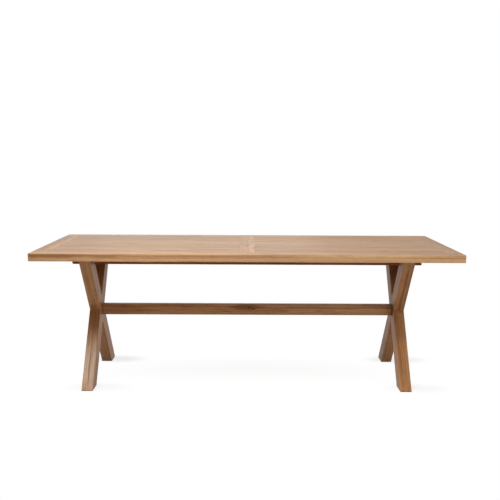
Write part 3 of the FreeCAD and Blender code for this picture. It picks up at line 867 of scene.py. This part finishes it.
BASE_MARKS: dict[str, tuple[Mark, ...]] = {
    "left_front_leg": (
        # painted shadow: the lower leg darker just below the crossing, where the top's shadow falls
        Mark(Growth.HEART, (-0.07, 0.000, 0.044), (0.14, 0.050, 0.030), 0.35),
        # painted reflection: the lower leg paler and greyer where it mirrors the lamp
        Mark(Growth.SAPWOOD, (-0.36, 0.000, 0.044), (0.25, 0.060, 0.030), 0.8),
        Mark(Growth.HEART, (-0.34, 0.000, 0.044), (0.20, 0.007, 0.030), 0.6),
        # painted shade: the arm's face darker under the top
        Mark(Growth.HEART, (0.36, 0.000, 0.044), (0.24, 0.080, 0.050), 0.5),
        # painted shade: the lower leg's inner side darker
        Mark(Growth.HEART, (-0.36, -0.036, 0.000), (0.28, 0.012, 0.080), 0.75),
    ),
    "left_back_leg": (
        Mark(Growth.HEART, (0.32, -0.010, -0.044), (0.22, 0.014, 0.020), 0.3),
        # painted shade: darker in the crease at the crossing
        Mark(Growth.HEART, (0.075, 0.000, -0.044), (0.05, 0.040, 0.020), 0.4),
    ),
    "right_front_leg": (
        Mark(Growth.HEART, (-0.10, 0.014, 0.044), (0.20, 0.014, 0.020), 0.4),
        Mark(Growth.HEART, (-0.34, 0.014, 0.044), (0.22, 0.022, 0.020), 0.3),
        # painted shade: darker in the crease at the crossing
        Mark(Growth.HEART, (0.000, 0.000, 0.044), (0.03, 0.060, 0.020), 0.5),
        # painted shade: the arm's face darker under the top
        Mark(Growth.HEART, (0.33, 0.000, 0.044), (0.27, 0.080, 0.050), 0.7),
    ),
    "right_back_leg": (
        Mark(Growth.HEART, (0.22, 0.003, -0.044), (0.36, 0.012, 0.020), 0.8),
        Mark(Growth.HEART, (0.20, 0.020, -0.044), (0.36, 0.016, 0.020), 0.4),
        Mark(Growth.HEART, (0.10, -0.004, -0.044), (0.20, 0.022, 0.020), 0.25),
        # painted shade: the inner side darker beside the stretcher's joint
        Mark(Growth.HEART, (0.045, -0.032, -0.038), (0.045, 0.010, 0.045), 1.0),
    ),
    "stretcher": (
        # painted shade: a dark line where the stretcher meets the right leg
        Mark(Growth.HEART, (0.823, -0.018, 0.000), (0.010, 0.030, 0.060), 0.7),
        # painted shadow: the stretcher darker towards its left end, where the left leg shades it
        Mark(Growth.HEART, (-0.76, -0.018, 0.000), (0.34, 0.030, 0.050), 0.35),
        Mark(Growth.SAPWOOD, (0.50, -0.018, -0.006), (0.45, 0.020, 0.016), 0.2),
        Mark(Growth.HEART, (-0.010, -0.018, 0.014), (0.120, 0.022, 0.022), 0.75),
        Mark(Growth.KNOT, (0.014, -0.018, 0.010), (0.018, 0.022, 0.011), 1.0),
        Mark(Growth.KNOT, (0.034, -0.018, 0.005), (0.016, 0.022, 0.010), 1.0),
    ),
}


# ---------------------------------------------------------------- objects and slots


def add_object(name: str, data: bpy.types.ID) -> bpy.types.Object:
    """Makes an object of a mesh, a lamp or a camera, and puts it into the scene.

    Args:
        name: The object's name.
        data: What it shows.

    Returns:
        The new object.
    """
    made = bpy.data.objects.new(name, data)
    bpy.context.scene.collection.objects.link(made)
    return made


def middle_of(node: str) -> Triple:
    """The middle of a CAD node's box."""
    low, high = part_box(node)
    return tuple((low + high) / 2)


def cover(node: str, material: bpy.types.Material) -> None:
    """Makes a material the only one of a CAD node.

    Args:
        node: The CAD node.
        material: The material.
    """
    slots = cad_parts[node].data.materials
    slots.clear()
    slots.append(material)
    log.info("dressed %s", node)


def dress(node: str, timber: Timber, cut: Cut) -> None:
    """Gives a CAD node its own piece of timber.

    Args:
        node: The CAD node.
        timber: What it is made of.
        cut: How it was sawn.
    """
    cover(node, timber.material(f"{node}_timber", cut))


# ---------------------------------------------------------------- sub-assemblies


@dataclass
class TableTop:
    """The frame-and-board top.

    Attributes:
        timber: What it is made of.
        tones: How light each board of a field is, from the front one to the back one.
        marks: The dark streaks and pale bands of the pieces that have any, and the painted shade and
            painted highlight on some of them.
        stile_seed: Sets the front stile apart, and the next number the back one.
        stile_pith: Where the pith runs beside a stile: across it, and through it.
        rail_seed: Sets the left rail apart, and the next numbers the others.
        rail_pith: Where the pith runs beside a rail.
        pith_spread: How far beside a board's middle its pith runs at most.
        spread_turn: How far on that swings from board to board, in radians.
        pith_depth: How far below a board's middle its pith runs at least.
        depth_range: How much deeper it runs at most.
        depth_start: Where its depth swings from, in radians.
        depth_turn: How far on its depth swings from board to board, in radians.
    """

    timber: Timber = TOP_WOOD
    tones: Mapping[str, tuple[Tone, ...]] = field(default_factory=lambda: BOARD_TONES)
    marks: Mapping[str, tuple[Mark, ...]] = field(default_factory=lambda: TOP_MARKS)
    stile_seed: float = 31.0
    stile_pith: Pair = (0.012, -0.055)
    rail_seed: float = 41.0
    rail_pith: Pair = (-0.10, -0.05)
    pith_spread: float = 0.03
    spread_turn: float = 2.4
    pith_depth: float = 0.055
    depth_range: float = 0.035
    depth_start: float = 1.0
    depth_turn: float = 1.7

    def dress(self) -> None:
        """Dresses all its pieces."""
        for number, node in enumerate(("front_stile", "back_stile")):
            self.dress_piece(node, ALONG_X, self.stile_seed + number, self.stile_pith, Tone.PALE)
        rails = {"left_end_rail": Tone.DEEP, "mid_rail": Tone.PLAIN, "right_end_rail": Tone.DEEP}
        for number, (node, tone) in enumerate(rails.items()):
            self.dress_piece(node, ALONG_Y, self.rail_seed + number, self.rail_pith, tone)
        boards = [(half, row, tone) for half in HALVES for row, tone in enumerate(self.tones[half], 1)]
        for seed, (half, row, tone) in enumerate(boards, 1):
            spread = self.pith_spread * math.sin(self.spread_turn * seed)
            swing = (1 + math.sin(self.depth_turn * seed + self.depth_start)) / 2
            pith = (spread, -self.pith_depth - self.depth_range * swing)
            self.dress_piece(f"{half}_board_{row}", ALONG_X, float(seed), pith, tone)

    def dress_piece(self, node: str, grain: Triple, seed: float, pith: Pair, tone: Tone) -> None:
        """Dresses one piece, with its marks.

        Args:
            node: The CAD node.
            grain: The way that its grain runs.
            seed: Sets it apart from the other pieces.
            pith: Where the pith runs beside it: across it, and through it.
            tone: How light it is.
        """
        cut = Cut(grain, middle_of(node), seed, pith, tone, self.marks.get(node, ()))
        dress(node, self.timber, cut)


@dataclass
class Underside:
    """Cleats, battens and bearers below the top.

    Attributes:
        timber: What they are made of, whose darker, redder colours are painted shade.
        batten_seed: Sets the left cleat apart, and the next numbers the other cleat and the battens.
        batten_pith: Where the pith runs beside a cleat or a batten: across it, and through it.
        bearer_seed: Sets the front bearer apart, and the next number the back one.
        bearer_pith: Where the pith runs beside a bearer.
    """

    timber: Timber = SHADED_UNDERSIDE_WOOD
    batten_seed: float = 51.0
    batten_pith: Pair = (0.02, -0.06)
    bearer_seed: float = 61.0
    bearer_pith: Pair = (0.05, -0.03)

    def dress(self) -> None:
        """Dresses all its pieces."""
        battens = ("left_cleat", "right_cleat", "left_batten", "centre_batten", "right_batten")
        for number, node in enumerate(battens):
            cut = Cut(ALONG_Y, middle_of(node), self.batten_seed + number, self.batten_pith)
            dress(node, self.timber, cut)
        for number, node in enumerate(("front_bearer", "back_bearer")):
            cut = Cut(ALONG_X, middle_of(node), self.bearer_seed + number, self.bearer_pith)
            dress(node, self.timber, cut)


@dataclass
class Base:
    """The crossed legs and the stretcher.

    Attributes:
        timber: What they are made of.
        marks: Their streaks and bands, the stretcher's two knots, and the painted shade and painted
            reflection on some of them.
        leg_width: The width of a leg, across its grain.
        leg_seed: Sets the left front leg apart, and the next numbers the others.
        leg_pith: Where the pith runs beside a leg: across it, and through it.
        sole_shade_height: How high the painted contact shade at the foot of a leg reaches.
        stretcher_seed: Sets the stretcher apart.
        stretcher_pith: Where the pith runs beside the stretcher.
    """

    timber: Timber = LEG_WOOD
    marks: Mapping[str, tuple[Mark, ...]] = field(default_factory=lambda: BASE_MARKS)
    leg_width: float = 0.088
    leg_seed: float = 71.0
    leg_pith: Pair = (0.06, -0.05)
    sole_shade_height: float = 0.007
    stretcher_seed: float = 81.0
    stretcher_pith: Pair = (-0.05, 0.02)

    def dress(self) -> None:
        """Dresses the four legs and the stretcher."""
        legs = [(f"{half}_{foot}_leg", foot) for half in HALVES for foot in ("front", "back")]
        for number, (node, foot) in enumerate(legs):
            cut = Cut(
                grain=self.grain(1.0 if foot == "front" else -1.0),
                middle=middle_of(node),
                seed=self.leg_seed + number,
                pith=self.leg_pith,
                marks=self.marks[node],
                sole_shade_height=self.sole_shade_height,
            )
            dress(node, self.timber, cut)
        cut = Cut(
            grain=ALONG_X,
            middle=middle_of("stretcher"),
            seed=self.stretcher_seed,
            pith=self.stretcher_pith,
            marks=self.marks["stretcher"],
        )
        dress("stretcher", self.timber, cut)

    def grain(self, sign: float) -> Triple:
        """The way that a leg's grain runs, from its foot to its arm.

        Args:
            sign: 1 for a leg that stands at the front, -1 for one that stands at the back.

        Returns:
            The direction, in the plane of its X-frame.
        """
        low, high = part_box("left_front_leg")
        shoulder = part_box("left_cleat")[0].z
        spread = high.y - low.y
        lean = math.acos(self.leg_width / math.hypot(spread, shoulder)) - math.atan2(shoulder, spread)
        return (0.0, sign * math.sin(lean), math.cos(lean))


@dataclass
class Fasteners:
    """Bolts, washers and barrel nuts as the CAD has them, and full screws in place of the plain ones.

    Attributes:
        steel: What they are made of.
        head_diameter: A screw's head.
        head_height: How far a head stands below the wood that it bears on.
        rim_share: How much of that height is its straight rim; the rest is its dome.
        head_sides: How many sides a head has.
        crease: The angle past which an edge of the head is sharp, in radians.
        core_diameter: A screw's shank at the bottom of its thread.
        core_sides: How many sides the shank has, and each turn of the thread.
        point_length: The length of its point, in core diameters.
        thread_share: How much of the straight shank is threaded.
        thread_depth: How far the thread stands out from the core.
        thread_sides: How many sides the thread's section has.
        pitch: From one turn of the thread to the next.
        recess_length: Across a head's cross-shaped recess.
        recess_width: The width of each of its slots.
        recess_depth: Its depth.
        seed: For the way that each head's recess is turned.
        weld: How near two points of the CAD's mesh lie that are one.
        place_digits: How many decimals the screws' places are sorted by.
    """

    steel: PlatedSteel = PlatedSteel(shown(196, 197, 200))
    head_diameter: float = 0.0088
    head_height: float = 0.0029
    rim_share: float = 0.35
    head_sides: int = 32
    crease: float = 0.6
    core_diameter: float = 0.0031
    core_sides: int = 16
    point_length: float = 1.6
    thread_share: float = 0.8
    thread_depth: float = 0.0006
    thread_sides: int = 3
    pitch: float = 0.0020
    recess_length: float = 0.0050
    recess_width: float = 0.0010
    recess_depth: float = 0.0016
    seed: int = 4
    weld: float = 1e-6
    place_digits: int = 4

    def build(self) -> None:
        """Dresses the bolts and nuts, and makes the screws."""
        steel = self.steel.material("zinc_plated_steel")
        for node in ("stretcher_bolts", "bolt_washers", "barrel_nuts"):
            cover(node, steel)
        for node in ("cleat_screws", "batten_screws", "bearer_screws"):
            self.make_screws(node, steel)

    def spots(self, node: str) -> tuple[list[Vector], float]:
        """Reads where a CAD node's screws are.

        Args:
            node: The CAD node.

        Returns:
            The middle of each head's bottom, and a screw's whole length.
        """
        mesh = bmesh.new()
        mesh.from_mesh(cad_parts[node].data)
        bmesh.ops.remove_doubles(mesh, verts=mesh.verts, dist=self.weld)
        waiting = set(mesh.verts)
        found: list[Vector] = []
        length = 0.0
        while waiting:
            island = [waiting.pop()]
            for vertex in island:
                for edge in vertex.link_edges:
                    other = edge.other_vert(vertex)
                    if other in waiting:
                        waiting.remove(other)
                        island.append(other)
            places = [vertex.co for vertex in island]
            low = Vector(min(place[axis] for place in places) for axis in range(3))
            high = Vector(max(place[axis] for place in places) for axis in range(3))
            found.append(Vector(((low.x + high.x) / 2, (low.y + high.y) / 2, low.z)))
            length = high.z - low.z
        mesh.free()
        found.sort(key=lambda spot: tuple(round(value, self.place_digits) for value in spot))
        return found, length

    def sizes(self, length: float) -> dict[str, float]:
        """Names a screw's sizes as the inputs of its tree are named.

        Args:
            length: The screw's whole length.

        Returns:
            The sizes by name, in the order of the inputs.
        """
        return {
            "Length": length,
            "Head Diameter": self.head_diameter,
            "Head Height": self.head_height,
            "Core Diameter": self.core_diameter,
            "Thread Depth": self.thread_depth,
            "Pitch": self.pitch,
            "Recess Length": self.recess_length,
            "Recess Width": self.recess_width,
            "Recess Depth": self.recess_depth,
        }

    def make_screws(self, node: str, steel: bpy.types.Material) -> None:
        """Makes one CAD node's screws as a plain mesh that stands for it.

        Args:
            node: The CAD node.
            steel: The screws' material.
        """
        spots, length = self.spots(node)
        sizes = self.sizes(length)
        points = bpy.data.meshes.new(f"{node}_points")
        points.from_pydata(spots, [], [])
        carrier = add_object(f"{node}_carrier", points)
        modifier = carrier.modifiers.new("screws", "NODES")
        modifier.node_group = self.screw_tree(sizes, steel)
        for socket in modifier.node_group.interface.items_tree:
            if socket.in_out == "INPUT" and socket.name in sizes:
                modifier[socket.identifier] = sizes[socket.name]
        bpy.context.view_layer.update()
        evaluated = carrier.evaluated_get(bpy.context.evaluated_depsgraph_get())
        baked = bpy.data.meshes.new_from_object(evaluated)
        bpy.data.objects.remove(carrier)
        piece = add_object(f"full_{node}", baked)
        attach(piece, BODY)
        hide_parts(node)
        log.info("made %s: %d screws, %d faces", piece.name, len(spots), len(baked.polygons))

    def screw_tree(self, names: Iterable[str], steel: bpy.types.Material) -> bpy.types.NodeTree:
        """The Geometry Nodes tree that sets a screw on each point, head down.

        Args:
            names: What its inputs for sizes are called.
            steel: The screws' material.

        Returns:
            The tree.
        """
        data = bpy.data.node_groups.new("wood_screws", "GeometryNodeTree")
        data.interface.new_socket(name="Points", in_out="INPUT", socket_type="NodeSocketGeometry")
        for name in names:
            data.interface.new_socket(name=name, in_out="INPUT", socket_type="NodeSocketFloat")
        data.interface.new_socket(name="Screws", in_out="OUTPUT", socket_type="NodeSocketGeometry")
        tree = Tree(data)
        given = tree.node("NodeGroupInput")
        size = {socket.name: Signal(tree, socket) for socket in given.outputs if socket.name}
        screw = tree.out(
            "GeometryNodeJoinGeometry", {}, {0: [self.head(tree, size), *self.shank(tree, size)]}
        )
        spin = tree.signal(
            "FunctionNodeRandomValue",
            {"data_type": "FLOAT"},
            {"Min_001": 0.0, "Max_001": math.tau, "Seed": self.seed},
            "Value_001",
        )
        turn = tree.out("ShaderNodeCombineXYZ", {}, {"Z": spin})
        placed = tree.out(
            "GeometryNodeInstanceOnPoints",
            {},
            {"Points": given.outputs["Points"], "Instance": screw, "Rotation": turn},
        )
        real = tree.out("GeometryNodeRealizeInstances", {}, {0: placed})
        dressed = tree.out("GeometryNodeSetMaterial", {}, {"Geometry": real, "Material": steel})
        tree.node("NodeGroupOutput", {}, {"Screws": dressed})
        return data

    def moved(self, tree: Tree, mesh: object, z: Number, scale: object = (1.0, 1.0, 1.0)) -> object:
        """Lifts and scales a mesh in a Geometry Nodes tree.

        Args:
            tree: The tree.
            mesh: The mesh's socket.
            z: How far it is lifted.
            scale: How far it is scaled each way.

        Returns:
            The moved mesh's socket.
        """
        lift = tree.out("ShaderNodeCombineXYZ", {}, {"Z": z})
        return tree.out(
            "GeometryNodeTransform", {}, {"Geometry": mesh, "Translation": lift, "Scale": scale}
        )

    def head(self, tree: Tree, size: dict[str, Signal]) -> bpy.types.NodeSocket:
        """A pan head with a cross-shaped recess, whose lowest point is at z = 0.

        Args:
            tree: The tree.
            size: The tree's named sizes.

        Returns:
            The head's mesh.
        """
        radius = size["Head Diameter"] / 2
        rim_height = size["Head Height"] * self.rim_share
        dome_height = size["Head Height"] * (1 - self.rim_share)
        rim = tree.out(
            "GeometryNodeMeshCylinder",
            {},
            {"Vertices": self.head_sides, "Radius": radius, "Depth": rim_height},
        )
        rim = self.moved(tree, rim, dome_height + rim_height / 2)
        ball = tree.out(
            "GeometryNodeMeshUVSphere",
            {},
            {"Segments": self.head_sides, "Rings": self.head_sides // 2, "Radius": 1.0},
        )
        flat = tree.out("ShaderNodeCombineXYZ", {}, {"X": radius, "Y": radius, "Z": dome_height})
        dome = self.moved(tree, ball, dome_height, flat)
        solid = tree.out("GeometryNodeMeshBoolean", {"operation": "UNION"}, {"Mesh 2": [rim, dome]})
        slots = []
        for long_side, short_side in (("X", "Y"), ("Y", "X")):
            sides = {
                long_side: size["Recess Length"],
                short_side: size["Recess Width"],
                "Z": size["Recess Depth"] * 2,  # half of the block lies below the head
            }
            block_size = tree.out("ShaderNodeCombineXYZ", {}, sides)
            slots.append(tree.out("GeometryNodeMeshCube", {}, {"Size": block_size}))
        cut = tree.out(
            "GeometryNodeMeshBoolean", {"operation": "DIFFERENCE"}, {"Mesh 1": solid, "Mesh 2": slots}
        )
        smooth = tree.out("GeometryNodeSetShadeSmooth", {"domain": "FACE"}, {"Geometry": cut})
        angle = tree.signal("GeometryNodeInputMeshEdgeAngle")
        sharp = tree.signal(
            "FunctionNodeCompare", {"operation": "GREATER_THAN"}, {"A": angle, "B": self.crease}
        )
        return tree.out(
            "GeometryNodeSetShadeSmooth",
            {"domain": "EDGE"},
            {"Geometry": smooth, "Selection": sharp, "Shade Smooth": False},
        )

    def shank(self, tree: Tree, size: dict[str, Signal]) -> list[bpy.types.NodeSocket]:
        """The core, its point and the thread round it.

        Args:
            tree: The tree.
            size: The tree's named sizes.

        Returns:
            The three meshes.
        """
        radius = size["Core Diameter"] / 2
        point = size["Core Diameter"] * self.point_length
        start = size["Head Height"]
        straight = size["Length"] - start - point
        core = tree.out(
            "GeometryNodeMeshCylinder",
            {},
            {"Vertices": self.core_sides, "Radius": radius, "Depth": straight},
        )
        core = self.moved(tree, core, start + straight / 2)
        tip = tree.out(
            "GeometryNodeMeshCone",
            {},
            {
                "Vertices": self.core_sides,
                "Radius Top": 0.0,
                "Radius Bottom": radius,
                "Depth": point,
            },
        )
        tip = self.moved(tree, tip, start + straight)
        thread_length = straight * self.thread_share
        line = tree.out(
            "GeometryNodeCurveSpiral",
            {},
            {
                "Resolution": self.core_sides,
                "Rotations": thread_length / size["Pitch"],
                "Start Radius": radius,
                "End Radius": radius,
                "Height": thread_length,
            },
        )
        profile = tree.out(
            "GeometryNodeCurvePrimitiveCircle",
            {"mode": "RADIUS"},
            {"Resolution": self.thread_sides, "Radius": size["Thread Depth"]},
        )
        thread = tree.out(
            "GeometryNodeCurveToMesh",
            {},
            {"Curve": line, "Profile Curve": profile, "Fill Caps": True},
        )
        thread = self.moved(tree, thread, start + straight - thread_length)
        return [core, tip, thread]


# ---------------------------------------------------------------- the studio


@dataclass(frozen=True)
class Softbox:
    """A large soft lamp.

    Attributes:
        name: The lamp's name.
        place: Where it hangs.
        aim: What it points at.
        size: Its two sides.
        power: In watts.
    """

    name: str
    place: Triple
    aim: Triple
    size: Pair
    power: float

    def build(self) -> None:
        """Hangs the lamp up; it lights the table and isn't seen itself."""
        light = bpy.data.lights.new(self.name, "AREA")
        light.shape = "RECTANGLE"
        light.size, light.size_y = self.size
        light.energy = self.power
        lamp = add_object(self.name, light)
        lamp.location = self.place
        aim = Vector(self.aim) - Vector(self.place)
        lamp.rotation_euler = aim.to_track_quat("-Z", "Y").to_euler()
        lamp.visible_camera = False


@dataclass
class Studio:
    """A pale floor, soft light and the camera.

    Attributes:
        floor_size: The side of the floor.
        floor_albedo: How much light the floor gives back to the table.
        shadow_strength: How much of the floor's own shading shows under the table.
        shadow_reach: Half the size of the patch that it shows in.
        foot: Where a foot stands, in the quarter of the floor with positive places.
        foot_strength: How much of the floor's own shading shows beside a foot.
        foot_shift: How far to the right of the feet it does.
        foot_reach: Half the size of the patch that it shows in.
        patch_core: Where a patch starts to fade, as a share of its reach.
        floor_lift: How bright the floor's plain white is under the table, against the shading there.
        ambient: The light that comes from all round.
        back_light: How much more comes from behind.
        lamps: The lamps.
        camera_place: Where the camera stands.
        camera_yaw: How far it is turned to the left, in radians.
        camera_pitch: How far it looks down, in radians.
        camera_roll: How far it is turned about its own line of sight, in radians.
        lens: Its focal length, in millimetres.
        sensor: The width of its sensor, in millimetres.
        shift: How far the frame is moved up, as a share of its width.
    """

    floor_size: float = 60.0
    floor_albedo: float = 0.8
    shadow_strength: float = 0.14
    shadow_reach: Triple = (1.1, 0.40, 1.0)
    foot: Triple = (0.86, 0.29, 0.0)
    foot_strength: float = 0.22
    foot_shift: Triple = (0.06, 0.0, 0.0)
    foot_reach: Triple = (0.24, 0.11, 1.0)
    patch_core: float = 0.2
    floor_lift: float = 1.05
    ambient: float = 0.04
    back_light: float = 0.55
    lamps: tuple[Softbox, ...] = (
        Softbox("key", (-2.6, -3.4, 5.2), (-0.5, -0.2, 0.4), (2.0, 2.0), 145.0),
        Softbox("top_light", (-0.3, -1.3, 3.2), (0.1, -0.2, 0.4), (1.6, 1.2), 42.0),
        Softbox("fill", (2.5, -3.45, 2.3), (0.0, 0.0, 0.5), (3.0, 2.2), 67.0),
        Softbox("rim", (-0.75, 5.0, 1.7), (-0.3, 0.0, 0.75), (3.4, 1.6), 15.0),
    )
    camera_place: Triple = (-0.00534, -4.19272, 1.25100)
    camera_yaw: float = -0.005317
    camera_pitch: float = 0.201250
    camera_roll: float = 0.005013
    lens: float = 54.158
    sensor: float = 36.0
    shift: float = 0.1116

    def build(self) -> None:
        """Sets the stage up."""
        bpy.context.scene.view_settings.view_transform = "Standard"
        self.make_world()
        self.make_floor()
        for lamp in self.lamps:
            lamp.build()
        self.make_camera()

    def seen(self, tree: Tree) -> Signal:
        """Whether a ray comes straight from the camera, a gloss or a glass.

        Args:
            tree: The world's or the floor's tree.

        Returns:
            1 if it does, otherwise 0.
        """
        rays = tree.node("ShaderNodeLightPath")
        camera, glossy, through = (
            Signal(tree, rays.outputs[name])
            for name in ("Is Camera Ray", "Is Glossy Ray", "Is Transmission Ray")
        )
        return camera.largest(glossy).largest(through)

    def make_world(self) -> None:
        """White where it is seen, and elsewhere a soft light that is stronger from behind."""
        world = bpy.data.worlds.new("studio")
        tree = empty_tree(world)
        direction = tree.node("ShaderNodeTexCoord").outputs["Generated"]
        behind = tree.signal("ShaderNodeSeparateXYZ", {}, {0: direction}, "Y").largest(0.0)
        soft = self.ambient + self.back_light * behind
        seen = self.seen(tree)
        white = tree.vector("SCALE", {0: WHITE, "Scale": soft * (1 - seen) + seen})
        sky = tree.out("ShaderNodeBackground", {}, {"Color": white})
        tree.node("ShaderNodeOutputWorld", {}, {"Surface": sky})
        bpy.context.scene.world = world

    def patch(self, tree: Tree, place: bpy.types.NodeSocket, reach: Triple) -> Signal:
        """A soft oval patch.

        Args:
            tree: The floor's tree.
            place: The point, from the patch's middle.
            reach: Half the patch's size along each axis.

        Returns:
            From 1 in its middle to 0 at its edge.
        """
        return 1 - tree.oval(place, reach).rise(self.patch_core, 1.0)

    def make_floor(self) -> None:
        """A floor that shows white with a faint shadow, and gives back a plain light."""
        half = self.floor_size / 2
        corners = [(-half, -half, 0.0), (half, -half, 0.0), (half, half, 0.0), (-half, half, 0.0)]
        mesh = bpy.data.meshes.new("floor")
        mesh.from_pydata(corners, [], [(0, 1, 2, 3)])
        material = bpy.data.materials.new("floor")
        tree = empty_tree(material)
        place = tree.node("ShaderNodeTexCoord").outputs["Object"]
        near = self.patch(tree, place, self.shadow_reach)
        beside = tree.vector("SUBTRACT", {0: place, 1: self.foot_shift})
        quarter = tree.vector("ABSOLUTE", {0: beside})
        at_foot = self.patch(tree, tree.vector("SUBTRACT", {0: quarter, 1: self.foot}), self.foot_reach)
        lift = 1 + near * (1 - at_foot) * (self.floor_lift - 1)
        white = tree.vector("SCALE", {0: WHITE, "Scale": lift})
        white = tree.out("ShaderNodeEmission", {}, {"Color": white})
        seen = self.seen(tree)
        matt = tree.out("ShaderNodeBsdfDiffuse", {}, {"Color": seen.largest(self.floor_albedo)})
        share = seen * (1 - near * self.shadow_strength - at_foot * self.foot_strength)
        surface = tree.out("ShaderNodeMixShader", {}, {0: share, 1: matt, 2: white})
        tree.node("ShaderNodeOutputMaterial", {}, {"Surface": surface})
        mesh.materials.append(material)
        add_object("floor", mesh)

    def make_camera(self) -> None:
        """The camera, at the height of a standing person's chest."""
        data = bpy.data.cameras.new("camera")
        data.lens = self.lens
        data.sensor_width = self.sensor
        data.shift_y = self.shift
        camera = add_object("camera", data)
        yaw, pitch, roll = self.camera_yaw, self.camera_pitch, self.camera_roll
        right = Vector((math.cos(yaw), math.sin(yaw), 0.0))
        ahead = Vector((-math.sin(yaw), math.cos(yaw), 0.0))
        up = Vector((0.0, 0.0, math.cos(pitch))) + ahead * math.sin(pitch)
        side = right * math.cos(roll) + up * math.sin(roll)
        top = up * math.cos(roll) - right * math.sin(roll)
        turned = camera.matrix_world.copy()
        for column, axis in enumerate((side, top, side.cross(top))):
            for row in range(3):
                turned[row][column] = axis[row]
        turned.translation = Vector(self.camera_place)
        camera.matrix_world = turned
        bpy.context.scene.camera = camera


def main() -> None:
    """Builds and dresses the table, piece by piece, and sets it on its stage."""
    TableTop().dress()
    Underside().dress()
    Base().dress()
    Fasteners().build()
    Studio().build()


if __name__ == "__main__":
    main()
